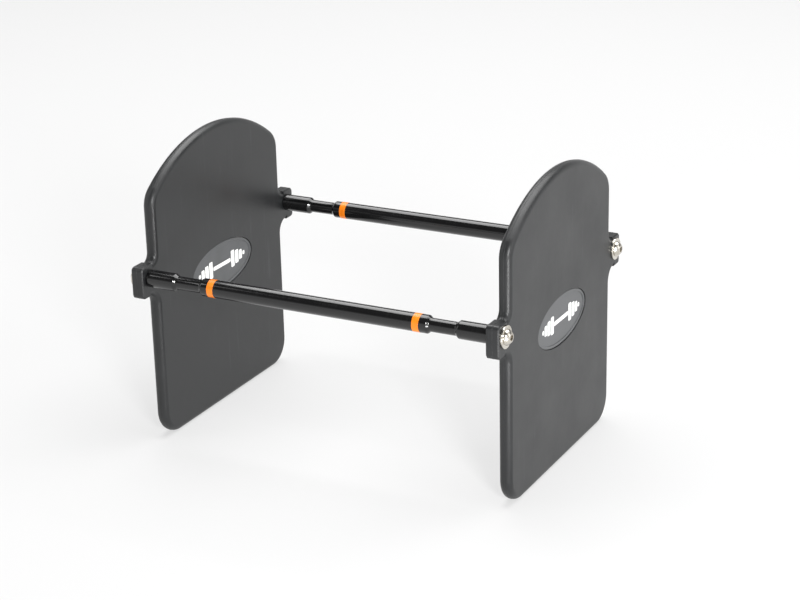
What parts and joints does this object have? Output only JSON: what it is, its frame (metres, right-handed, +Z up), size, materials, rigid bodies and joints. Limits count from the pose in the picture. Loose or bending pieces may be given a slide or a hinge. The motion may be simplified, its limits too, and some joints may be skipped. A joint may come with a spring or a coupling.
{
  "type": "adjustable dumbbell",
  "caption": "Nesting weight of an adjustable dumbbell: domed coated end plates joined by banded rails that bolt to side ears.",
  "frame": {"origin": "on the floor, at the centre of the weight's footprint", "axes": "+X along the rails towards the right plate, +Y from the front rail to the rear rail, +Z up"},
  "size_m": [0.295, 0.2094, 0.216],
  "materials": {
    "plate_steel": "laser-cut mild steel, oiled",
    "plate_urethane": "moulded urethane, fine satin grain",
    "badge_plastic": "satin moulded plastic with a white printed emblem",
    "rail_paint": "gloss black enamel on turned steel",
    "band_orange": "gloss orange band",
    "fastener_steel": "bright zinc-plated steel"
  },
  "bodies": {
    "root": {"left_plate_core": "plate_steel", "left_plate_cover": "plate_urethane", "right_plate_core": "plate_steel", "right_plate_cover": "plate_urethane", "left_outer_badge": "badge_plastic", "left_inner_badge": "badge_plastic", "right_outer_badge": "badge_plastic", "right_inner_badge": "badge_plastic", "front_rail": "rail_paint", "rear_rail": "rail_paint", "front_left_band": "band_orange", "front_right_band": "band_orange", "rear_left_band": "band_orange", "rear_right_band": "band_orange", "front_left_washer": "fastener_steel", "front_right_washer": "fastener_steel", "rear_left_washer": "fastener_steel", "rear_right_washer": "fastener_steel", "front_left_screw": "fastener_steel", "front_right_screw": "fastener_steel", "rear_left_screw": "fastener_steel", "rear_right_screw": "fastener_steel"}
  },
  "joints": []
}
